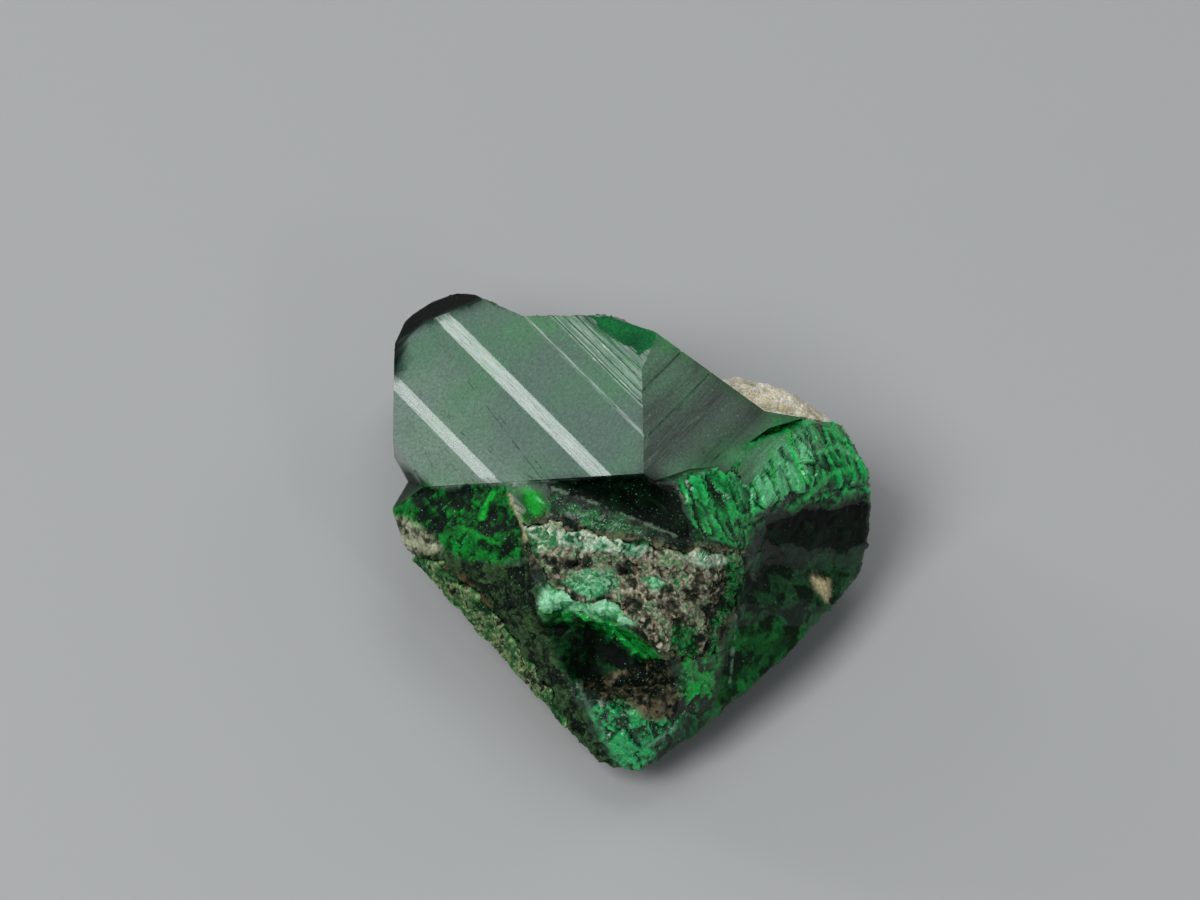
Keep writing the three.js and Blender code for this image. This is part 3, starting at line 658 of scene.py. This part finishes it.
from_middle = np.linalg.norm((places - DUST_MIDDLE) / DUST_RADII, axis=1)
dust = eased((DUST_END - from_middle) / DUST_FADE + 0.7 * layered_noise(places, 0.3, 37))
tint += DUST_COVER * dust[:, None] * (linear(DUST) * (0.4 + small_chip[:, None]) - tint)
rough += dust * (DUSTY_ROUGH - rough)
for _, colour, half_width, strength, path in MARKS:
    distance = off_path(places, path)
    distance += MARK_WOBBLE * layered_noise(places, MARK_BENDS, 31)
    weight = strength * viewed * eased(1.5 - distance / half_width)
    tint += weight[:, None] * (linear(colour) - tint)
print("mean colour:", np.round(tint.mean(0), 3), "mean roughness:", round(rough.mean(), 2))

# %% [markdown]
# One function makes the mesh of every piece. Its materials read three things from it that
# vary over the stone: colour, roughness and how grained and glittering it is.

# %% Pieces of the visual model
# Degrees from which an edge is sharp: between two flat faces, and elsewhere
FLAT_EDGE = 3
BROKEN_EDGE = 38
# Height in mm of the grain that counts as 1 in the finish
COARSEST_GRAIN = 0.05


def piece_from(name, places, triangles, tint, finish, flat=None):
    """A mesh object in the frame. Its colours are in tint, and finish holds roughness, grain
    and glitter. An edge is sharp where its two normals, of length 1, are far enough apart:
    the square of their sum is 2 plus twice the cosine of the angle between them."""
    mesh = bpy.data.meshes.new(name)
    rest = to_frame(places)
    rest[:, 2] = np.maximum(rest[:, 2], 0)
    mesh.from_pydata(rest.tolist(), [], triangles.tolist())
    mesh.polygons.foreach_set("use_smooth", np.ones(len(triangles), bool))
    edge_of = np.zeros(len(mesh.loops), np.int32)
    mesh.loops.foreach_get("edge_index", edge_of)
    normals = np.repeat(normals_of(places, triangles)[0], 3, 0)
    total = np.stack([np.bincount(edge_of, part, len(mesh.edges)) for part in normals.T], -1)
    cosine = (total**2).sum(1) / 2 - 1
    is_flat = np.zeros(len(triangles)) if flat is None else flat.astype(float)
    both_flat = np.bincount(edge_of, np.repeat(is_flat, 3), len(mesh.edges)) > 1.5
    limit = np.cos(np.radians(np.where(both_flat, FLAT_EDGE, BROKEN_EDGE)))
    mesh.attributes.new("sharp_edge", "BOOLEAN", "EDGE").data.foreach_set("value", cosine < limit)
    colours = np.column_stack([np.clip(tint, 0, 1), np.ones(len(tint))]).astype(np.float32)
    mesh.attributes.new("tint", "FLOAT_COLOR", "POINT").data.foreach_set("color", colours.ravel())
    finish = np.stack(np.broadcast_arrays(*finish, np.zeros(len(places)))[:3], -1).astype(np.float32)
    mesh.attributes.new("finish", "FLOAT_VECTOR", "POINT").data.foreach_set("vector", finish.ravel())
    piece = bpy.data.objects.new(name, mesh)
    bpy.context.scene.collection.objects.link(piece)
    return piece


finish = (rough, grain / COARSEST_GRAIN, glitter)
garnet = piece_from("garnet", places, triangles, tint, finish, groups >= 0)
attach(garnet, "root")
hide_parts("garnet_crystal")
print("garnet:", len(garnet.data.polygons), "triangles")

# %% [markdown]
# Growth steps run along the long diagonal of each grown face. Their pattern follows the
# face, so every corner of a triangle on it gets its distance across the steps and along
# them, in millimetres from the corner where the faces meet, and 1 for the left face or -1
# for the right one. Triangles elsewhere get zeros.

# %% Steps on the grown faces
LEFT_NORMAL = np.array([-0.5, -math.sqrt(0.5), 0.5])
RIGHT_NORMAL = np.array([0.5, -math.sqrt(0.5), 0.5])
LEFT_ACROSS = np.array([math.sqrt(0.5), 0.0, math.sqrt(0.5)])
RIGHT_ACROSS = np.array([-math.sqrt(0.5), 0.0, math.sqrt(0.5)])
# How alike a normal has to be, and how near in mm to the face's plane
GROWN_LIKENESS = 0.78
GROWN_DISTANCE = 0.25

growth = np.zeros((len(triangles), 3, 3))
plane_normals = normals_of(places, triangles)[0]
centres = places[triangles].mean(1)
grown = (groups >= 0) & ~is_in(centres, "fresh chip at the top")
for side, normal, across in ((1, LEFT_NORMAL, LEFT_ACROSS), (-1, RIGHT_NORMAL, RIGHT_ACROSS)):
    alike = plane_normals @ normal > GROWN_LIKENESS
    near = grown & alike & (np.abs((centres - CORNER) @ normal) < GROWN_DISTANCE)
    from_corner = places[triangles[near]] - CORNER
    growth[near, :, 0] = from_corner @ across
    growth[near, :, 1] = from_corner @ np.cross(normal, across)
    growth[near, :, 2] = side
    print("side", side, "has", int(near.sum()), "triangles")
growth_attribute = garnet.data.attributes.new("growth", "FLOAT_VECTOR", "CORNER")
growth_attribute.data.foreach_set("vector", growth.astype(np.float32).ravel())

# %% [markdown]
# The host rock is a mass of tiny mineral grains. Its shells are grown outwards by the gap
# that the frame leaves around them. Lumps of grains bulge, every grain bulges a little more
# and has its own colour, and the hollows between them are painted darker as shade, the raised
# grains lighter.

# %% Shape and colour of the host rock
# In mm: the longest edge, how far the shell grows, and the widths of a grain, of a lump and
# of a zone in which the grains are alike
ROCK_DETAIL = 0.055
GROWTH = 0.04
GRAIN = 0.08
LUMP = 0.3
ZONE = 0.34
# Share of the way to the evened-out surface that the frame's shell goes first
ROCK_EVENING = 0.8
# Of a piece's bulge: the height of lumps that slope, of uneven ground and of single grains
SLOPE_BULGE = 0.8
UNEVEN_BULGE = 1.1
GRAIN_BULGE = 0.35
# How much a grain's own number, and how much the zone that it is in, decide its colour
GRAIN_SHARE = 0.45
ZONE_SHARE = 0.95
# Brightness: of level ground, and how much it changes with height, which paints shade in
# hollows and light on raised grains, and from place to place
LEVEL_SHADE = 0.85
HEIGHT_SHADE = 0.5
PATCHY_SHADE = 0.25
# Height in mm over what is around it from which a grain is fully bright
PROUD_GRAIN = 0.02
# Roughness, grain and glitter
ROCK_FINISH = (0.85, 1.0, 0.15)


def picked(palette, pick):
    """For numbers from 0 to 1, the linear colours at those shares of a palette's length."""
    return np.array([linear(colour) for colour in palette])[(pick * len(palette)).astype(int)]


def rock_piece(name, node, palette, bulge, seed, spots=()):
    """Fine shell of a rock remnant. Height is the growth, plus sloping lumps, plus layered
    noise, plus a low dome on each grain. A grain's own number and the zone it is in pick its
    colour from the palette, or from that of the spot it is in, and hollows are painted darker as
    shade, raised grains lighter."""
    places, triangles = shell_of(node)
    whole = np.zeros(len(triangles), int)
    places, triangles, _ = refined(places, triangles, np.full(len(triangles), ROCK_DETAIL), whole)
    places = places + ROCK_EVENING * (spread(places, triangles, 4) - places)
    outward = corner_normals(places, triangles)
    distance, number, _ = nearest_grain(places, GRAIN, seed)
    slope = chip_slopes(places, LUMP, seed + 3)[1]
    uneven = layered_noise(places, 0.4, seed + 5, 5)
    height = GROWTH + bulge * (SLOPE_BULGE * slope + UNEVEN_BULGE * uneven)
    height += GRAIN_BULGE * bulge * (0.5 - distance / GRAIN)
    places = places + height[:, None] * outward
    zone = layered_noise(places, ZONE, seed + 9, 4)
    pick = np.clip(0.5 + GRAIN_SHARE * (number - 0.5) + ZONE_SHARE * zone, 0, 0.999)
    tint = picked(palette, pick)
    for n, (outline, spot_palette) in enumerate(spots):
        weight = patch(places, outline, 0.06, 0.15, seed + 20 + n)[:, None]
        tint = tint * (1 - weight) + picked(spot_palette, pick) * weight
    raised = np.clip(standing_out(places, triangles, outward) / PROUD_GRAIN, -1, 1)
    patchy = layered_noise(places, 0.3, seed + 7)
    tint = tint * (LEVEL_SHADE + HEIGHT_SHADE * raised + PATCHY_SHADE * patchy)[:, None]
    piece = piece_from(name, places, triangles, tint, ROCK_FINISH)
    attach(piece, "root")
    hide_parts(node)
    print(name, len(triangles), "triangles")
    return piece


print("a grain is", GRAIN, "mm wide, and a lump", LUMP, "mm")

# %% [markdown]
# The rock at the front is a speckled mixture of minerals, whitish along its upper edge, mint
# where fine green garnet coats it, and stained green at its sides. The rock behind the upper
# right edge is cream white, and that on the flank is olive with dark specks.

# %% Pieces of host rock
WHITISH = ["#2c6040", "#6cb084", "#98c0a0", "#d4dcc8", "#a8bc9c", "#3c8c58"]
MINT = ["#4cae70", "#88c89c", "#2f8a4c", "#a4d4b0", "#68b480"]
# Near black, for painted shade in the two small hollows of the crust
HOLLOW_SHADE = ["#0c0e0a", "#14160f"]
GREENS = ["#06200d", "#0a4a1c", "#0f8a38", "#2c6a3c", "#5a7a58", "#0a2c12"]
BEIGE = ["#08160c", "#123a1c", "#2a3022", "#5c5646", "#8a8470", "#b8b29a", "#86a480", "#2f8a4c",
         "#a8a48a"]
CREAM = ["#e0d4b4", "#f4ecd4", "#fffae8", "#f0e4c4"]
OLIVE = ["#0e3016", "#1c5428", "#35703a", "#608450", "#90a070", "#446440", "#24241a"]
CRUST_SPOTS = [
    ([(-2.6, 0.2), (-0.8, 0.0), (0.5, -0.3), (0.2, -0.6), (-0.6, -0.5), (-1.6, -0.35),
      (-2.4, -0.5)], WHITISH),
    ([(1.0, -0.6), (2.3, -0.5), (2.3, -0.8), (1.6, -0.85)], WHITISH),
    ([(2.05, -0.5), (2.7, -0.4), (2.5, -2.4), (1.6, -3.0), (1.75, -2.2), (2.1, -1.3)], GREENS),
    ([(-2.6, 0.2), (-2.15, -0.2), (-1.95, -0.9), (-1.7, -1.4), (-2.6, -1.4)], GREENS),
    ([(-0.4, 0.1), (1.0, -0.2), (1.1, -0.5), (-0.2, -0.25)], GREENS),
    ([(0.9, -2.2), (1.4, -2.1), (1.5, -2.9), (0.8, -2.7)], GREENS),
    ([(-1.6, -1.15), (-1.1, -0.9), (-0.45, -0.9), (-0.3, -1.25), (-1.0, -1.45)], MINT),
    ([(0.2, -1.1), (0.5, -0.95), (0.75, -1.15), (0.5, -1.4)], MINT),
    # Painted shade in the crust's two small hollows
    ([(-0.36, -0.78), (-0.1, -0.72), (-0.05, -0.98), (-0.3, -1.05)], HOLLOW_SHADE),
    ([(-1.5, -0.62), (-1.15, -0.6), (-1.1, -0.82), (-1.45, -0.85)], HOLLOW_SHADE),
]
crust = rock_piece("speckled_crust", "host_rock_crust", BEIGE,
                   bulge=0.1, seed=71, spots=CRUST_SPOTS)
edge_rock = rock_piece("cream_edge", "host_rock_edge", CREAM, bulge=0.04, seed=81)
flank_rock = rock_piece("olive_flank", "host_rock_flank", OLIVE, bulge=0.06, seed=91)

# %% [markdown]
# Materials are node trees. One small function adds a node with its settings and its links,
# so each node is one statement, and reads in the order in which the colour is worked out.

# %% Helper for nodes
def add(nodes, kind, settings=None, links=None):
    """Adds a shader node, sets its sockets or properties by name, and links sockets to it."""
    node = nodes.new("ShaderNode" + kind)
    for key, value in (settings or {}).items():
        if isinstance(key, int) or key in node.inputs:
            node.inputs[key].default_value = value
        else:
            setattr(node, key, value)
    for key, source in (links or {}).items():
        node.id_data.links.new(source, node.inputs[key])
    return node


print("nodes can be added")

# %% [markdown]
# Growth steps catch the light, and their streaks are painted into the colour: pale streaks of
# painted highlight on the left face, and dark streaks of painted shade on the right.
# A ramp over the distance across the steps rises at each streak, and noise that is drawn out
# along the steps makes it uneven, as the real steps are bundles of many finer ones.

# %% Streaks of the growth steps
# Furthest distance in mm from the corner where the faces meet that the ramp covers
STEP_SPAN = 3.4
# In mm across the steps: where a streak lies, its half width and how strong it is
LEFT_STREAKS = [(-2.54, 0.1, 0.3), (-0.7, 0.14, 0.5), (0.62, 0.03, 0.95), (1.08, 0.04, 0.55),
                (1.36, 0.17, 0.5), (1.84, 0.2, 0.6)]
RIGHT_STREAKS = [(-1.7, 0.18, 0.5), (-0.8, 0.14, 0.45), (0.12, 0.16, 0.8), (0.8, 0.1, 0.5),
                 (1.4, 0.08, 0.4)]
# The face's side, its streaks, how softly they end, and their colour: a painted highlight on
# the left face, painted shade on the right
STREAKS = [(1.0, LEFT_STREAKS, 1.3, "#c4d4cc"), (-1.0, RIGHT_STREAKS, 2.5, "#0e1610")]
# The noise inside a streak: bumps per mm across the steps and along them. The third number
# sets the noise of the two faces apart.
STREAK_STRETCH = (26.0, 1.1, 7.0)


def streak_ramp(nodes, across, streaks, softness):
    """A ramp over the distance across the steps that rises at each streak, which fades out at
    softness times its half width."""
    span = {"From Min": -STEP_SPAN, "From Max": STEP_SPAN}
    part = add(nodes, "MapRange", span, {"Value": across})
    ramp = add(nodes, "ValToRGB", None, {"Fac": part.outputs["Result"]})
    stops = [(0.0, 0.0), (1.0, 0.0)]
    for middle, half, level in streaks:
        stops += [(middle - softness * half, 0), (middle - half, level), (middle + half, level),
                  (middle + softness * half, 0)]
    elements = ramp.color_ramp.elements
    for element, (_, level) in zip(elements, stops[:2]):
        element.color = (level, level, level, 1)
    for place, level in stops[2:]:
        elements.new((place + STEP_SPAN) / (2 * STEP_SPAN)).color = (level, level, level, 1)
    return ramp.outputs["Color"]


def streaked(nodes, colour):
    """The colour mixed with that of the streaks: by the face's side, which is 1 on the face
    itself and at most 0 elsewhere, times the ramp, times the drawn-out noise."""
    steps = add(nodes, "Attribute", {"attribute_name": "growth"}).outputs["Vector"]
    parts = add(nodes, "SeparateXYZ", None, {"Vector": steps}).outputs
    drawn_out = add(nodes, "VectorMath", {"operation": "MULTIPLY", 1: STREAK_STRETCH},
                    {0: steps})
    noise = add(nodes, "TexNoise", {"Scale": 1.0, "Detail": 3.0, "Roughness": 0.7},
                {"Vector": drawn_out.outputs[0]})
    uneven = add(nodes, "MapRange", {"From Min": 0.35, "From Max": 0.62},
                 {"Value": noise.outputs["Fac"]}).outputs["Result"]
    for side, streaks, softness, streak_colour in STREAKS:
        on_face = {"operation": "MULTIPLY", 1: side, "use_clamp": True}
        amount = add(nodes, "Math", on_face, {0: parts["Z"]}).outputs[0]
        for factor in (streak_ramp(nodes, parts["X"], streaks, softness), uneven):
            amount = add(nodes, "Math", {"operation": "MULTIPLY"},
                         {0: amount, 1: factor}).outputs[0]
        mixing = {"data_type": "RGBA", 7: (*linear(streak_colour), 1)}
        colour = add(nodes, "Mix", mixing, {0: amount, 6: colour}).outputs[2]
    return colour


print(len(LEFT_STREAKS), "streaks on the left face,", len(RIGHT_STREAKS), "on the right one")

# %% [markdown]
# One function makes all the stone materials. What varies over the stone comes from its
# piece. Grain and glittering pinpoints are finer than the mesh, so the material draws them.

# %% Stone material
# Size in mm of the pinpoints that glitter, and how much a piece's glitter adds to their noise
FLECK = 0.05
GLITTER_LIFT = 0.2
# Relief that is left where a piece has no grain
LEAST_RELIEF = 0.08


def glittering(nodes, place, glitter, colour, glint):
    """The colour with pinpoints in that of the glint, where the noise stands out most: painted
    glints, which on the grown faces and in the groove also stand for specks of dust.
    """
    flecks = add(nodes, "TexNoise",
                 {"Scale": 1 / (FLECK * MM), "Detail": 2.0, "Roughness": 0.6}, {"Vector": place})
    lifted = add(nodes, "Math", {"operation": "MULTIPLY_ADD", 1: GLITTER_LIFT},
                 {0: glitter, 2: flecks.outputs["Fac"]})
    spot = add(nodes, "MapRange", {"From Min": 0.7, "From Max": 0.8, "To Max": 0.8},
               {"Value": lifted.outputs[0]})
    mixing = {"data_type": "RGBA", 7: (*linear(glint), 1)}
    return add(nodes, "Mix", mixing, {0: spot.outputs["Result"], 6: colour}).outputs[2]


def stone_material(name, ior, gloss, relief_mm, grain_mm, glint, grown=False):
    """A solid stone: colour, roughness, grain and glitter come from its piece. Gloss is how
    much it mirrors, 0.5 for all that its refractive index gives. Fine noise makes it up to a
    third lighter or darker, and stands up as relief where the piece has grain."""
    material = bpy.data.materials.new(name)
    material.use_nodes = True
    nodes = material.node_tree.nodes
    nodes.clear()
    place = add(nodes, "TexCoord").outputs["Object"]
    tint = add(nodes, "Attribute", {"attribute_name": "tint"}).outputs["Color"]
    finish = add(nodes, "Attribute", {"attribute_name": "finish"}).outputs["Vector"]
    parts = add(nodes, "SeparateXYZ", None, {"Vector": finish}).outputs
    grain = add(nodes, "TexNoise", {"Scale": 1 / (grain_mm * MM), "Detail": 3.0},
                {"Vector": place}).outputs["Fac"]
    shade = add(nodes, "MapRange",
                {"From Min": 0.3, "From Max": 0.7, "To Min": 0.65, "To Max": 1.35}, {"Value": grain})
    shaded = add(nodes, "VectorMath", {"operation": "SCALE"},
                 {0: tint, "Scale": shade.outputs["Result"]})
    colour = glittering(nodes, place, parts["Z"], shaded.outputs[0], glint)
    if grown:
        colour = streaked(nodes, colour)
    coarse = add(nodes, "Math", {"operation": "ADD", 1: LEAST_RELIEF}, {0: parts["Y"]})
    height = add(nodes, "Math", {"operation": "MULTIPLY"}, {0: grain, 1: coarse.outputs[0]})
    bump = add(nodes, "Bump", {"Distance": relief_mm * MM, "Strength": 1.0},
               {"Height": height.outputs[0]})
    surface = add(nodes, "BsdfPrincipled", {"IOR": ior, "Specular IOR Level": gloss},
                  {"Base Color": colour, "Roughness": parts["X"], "Normal": bump.outputs["Normal"]})
    add(nodes, "OutputMaterial", None, {"Surface": surface.outputs["BSDF"]})
    return material


print("stone materials can be made")

# %% [markdown]
# Garnet is a glassy stone with a high refractive index, 1.86 for uvarovite, so even a flat
# face throws back a tenth of the light. It is too dark to see through. Where it is weathered
# it is dull, and hardly mirrors. The host rock is matt and finer grained than it.

# %% Materials of the pieces
# Roughness from which garnet counts as weathered
WEATHERED = 0.48
UVAROVITE = dict(ior=1.86, relief_mm=0.025, grain_mm=0.07, glint="#7ccc98")
HOST_ROCK = dict(ior=1.55, relief_mm=0.015, grain_mm=0.04, glint="#e4e0d0")

FRESH_NAME = "uvarovite garnet, grown and freshly broken"

fresh = stone_material(FRESH_NAME, gloss=0.22, grown=True, **UVAROVITE)
dull = stone_material("uvarovite garnet, weathered dull", gloss=0.06, **UVAROVITE)
grained = stone_material("host rock, fine grained", gloss=0.2, **HOST_ROCK)
garnet.data.materials.append(fresh)
garnet.data.materials.append(dull)
weathered = rough[triangles].mean(1) > WEATHERED
garnet.data.polygons.foreach_set("material_index", weathered.astype(np.int32))
for rock in (crust, edge_rock, flank_rock):
    rock.data.materials.append(grained)
print(int(weathered.sum()), "triangles of garnet are weathered")

# %% [markdown]
# A plain pale floor of matt paper, and a faint even light from all round.

# %% Floor and room light
bpy.context.scene.view_settings.view_transform = "Standard"
FLOOR_HALF = 0.4
floor_mesh = bpy.data.meshes.new("floor")
square = np.array([(-1, -1, 0), (1, -1, 0), (1, 1, 0), (-1, 1, 0)]) * FLOOR_HALF
floor_mesh.from_pydata(square.tolist(), [], [(0, 1, 2, 3)])
floor = bpy.data.objects.new("floor", floor_mesh)
bpy.context.scene.collection.objects.link(floor)
paper = bpy.data.materials.new("matt paper")
paper.use_nodes = True
paper_sockets = paper.node_tree.nodes["Principled BSDF"].inputs
paper_sockets["Base Color"].default_value = (*linear("#c0c2c2"), 1)
paper_sockets["Roughness"].default_value = 0.9
floor_mesh.materials.append(paper)

world = bpy.data.worlds.new("soft room light")
bpy.context.scene.world = world
world.use_nodes = True
room_sockets = world.node_tree.nodes["Background"].inputs
room_sockets["Color"].default_value = (0.9, 0.95, 1.0, 1)
room_sockets["Strength"].default_value = 0.16
print("the floor is", 2 * FLOOR_HALF, "m wide")

# %% [markdown]
# Soft studio light. A flat glassy face shows what it mirrors, so there is a panel where each
# grown face looks, and a small strong one for the slopes between growth steps, which are
# tilted by a few degrees and flash white.

# %% Light panels
# The middle of the stone, in m
STONE_MIDDLE = np.array([0.0, 0.0, 0.003])
# Name, direction from the stone, distance and size in m, and radiance in W per m2 and steradian
PANELS = [
    ("wide panel at the back left", (-0.66, 0.6, 0.52), 0.2, 0.08, 1.5),
    ("small strong panel for the growth steps", (-0.845, 0.425, 0.325), 0.2, 0.026, 12),
    ("weak panel at the back right", (0.707, 0.54, 0.4545), 0.2, 0.08, 0.75),
    ("key light", (-0.4, -0.5, 0.9), 0.25, 0.12, 7),
    ("sparkle light", (0.5, -0.75, 0.6), 0.25, 0.03, 11),
    ("soft light from above", (0.1, 0.35, 0.93), 0.25, 0.12, 1.8),
]

for name, towards, far, size, radiance in PANELS:
    light = bpy.data.lights.new(name, "AREA")
    light.size = size
    # A square panel of radiance L sends out L * pi * area
    light.energy = radiance * math.pi * size**2
    lamp = bpy.data.objects.new(name, light)
    direction = np.array(towards) / np.linalg.norm(towards)
    lamp.location = STONE_MIDDLE + direction * far
    lamp.rotation_euler = (math.acos(direction[2]), 0,
                           math.atan2(direction[1], direction[0]) + math.pi / 2)
    bpy.context.scene.collection.objects.link(lamp)
    print(name, "at", np.round(lamp.location, 3), "m")
